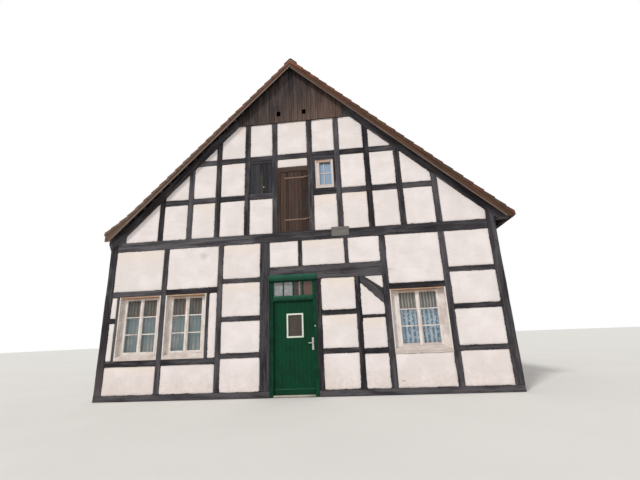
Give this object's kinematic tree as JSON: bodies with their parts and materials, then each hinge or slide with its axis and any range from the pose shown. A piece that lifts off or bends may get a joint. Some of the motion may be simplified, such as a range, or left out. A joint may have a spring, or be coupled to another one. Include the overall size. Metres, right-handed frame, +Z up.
{
  "type": "half timbered house",
  "caption": "Half timbered house with plastered panels, steep tiled gable roof, casement windows, attic hatch and a green plank door on pintle hinges.",
  "frame": {"origin": "middle of the house's ground plan, on the ground", "axes": "+Z up, +X along the front wall to the right seen from the street, +Y from the front wall to the back wall"},
  "size_m": [10.41, 12.4, 9.139],
  "materials": {
    "timber": "blackened, weathered oak timbers",
    "repair_timber": "newer grey timber",
    "plaster": "limewashed plaster over the infill",
    "white_paint": "off-white painted joinery",
    "window_glass": "clear window glass",
    "green_paint": "dark green painted boards",
    "brown_boards": "brown stained boards",
    "weathered_boards": "old weathered boards",
    "clay_tiles": "red-brown clay roof tiles",
    "stone": "worn floor stone",
    "iron": "blacksmith's iron",
    "door_steel": "brushed steel door furniture",
    "curtain_cloth": "light curtain cloth"
  },
  "bodies": {
    "house": {"ground_floor": "stone", "cross_sills": "timber", "side_sills": "timber", "door_threshold": "stone", "front_posts": "timber", "front_rails": "timber", "door_lintel": "timber", "lintel_brace": "timber", "front_storey_beam": "timber", "beam_repair_block": "repair_timber", "front_wall_infill": "plaster", "front_gable_studs": "timber", "front_gable_rails": "timber", "front_gable_infill": "plaster", "gable_boarding": "weathered_boards", "front_window_frames": "white_paint", "front_window_sashes": "white_paint", "front_window_glass": "window_glass", "attic_window": "white_paint", "attic_hatch": "brown_boards", "attic_hatch_frame": "brown_boards", "attic_shutter": "brown_boards", "attic_irons": "iron", "curtain_rods": "iron", "window_curtains": "curtain_cloth", "door_jambs": "green_paint", "door_head": "green_paint", "transom_glass": "window_glass", "side_posts": "timber", "side_rails": "timber", "side_wall_infill": "plaster", "wall_plates": "timber", "back_posts": "timber", "back_rails": "timber", "back_wall_infill": "plaster", "back_gable_studs": "timber", "back_gable_rails": "timber", "back_gable_infill": "plaster", "rear_window_frames": "white_paint", "rear_window_sashes": "white_paint", "rear_window_glass": "window_glass", "tie_beams": "timber", "attic_floor": "weathered_boards", "rafters_left": "timber", "rafters_right": "timber", "collar_beams": "timber", "roof_battens": "weathered_boards", "roof_tiles_left": "clay_tiles", "roof_tiles_right": "clay_tiles", "ridge_tiles": "clay_tiles", "verge_boards_left": "weathered_boards", "verge_boards_right": "weathered_boards", "hinge_pintles": "iron"},
    "door": {"door_leaf": "green_paint", "door_weather_board": "green_paint", "door_window_beading": "white_paint", "door_window_glass": "window_glass", "door_hinge_straps": "iron", "door_lock_plates": "door_steel"},
    "lever": {"door_lever": "door_steel"}
  },
  "joints": [
    {"name": "front_door", "type": "hinge", "parent": "house", "child": "door", "pos_m": [-0.5525, -5.863, 0.35], "axis": [0, 0, 1], "range_deg": [0, 100]},
    {"name": "door_handle", "type": "hinge", "parent": "door", "child": "lever", "pos_m": [0.396, -5.9025, 1.17], "axis": [0, -1, 0], "range_deg": [0, 40], "stiffness_Nm_per_rad": 1, "springref_deg": -28.65}
  ]
}
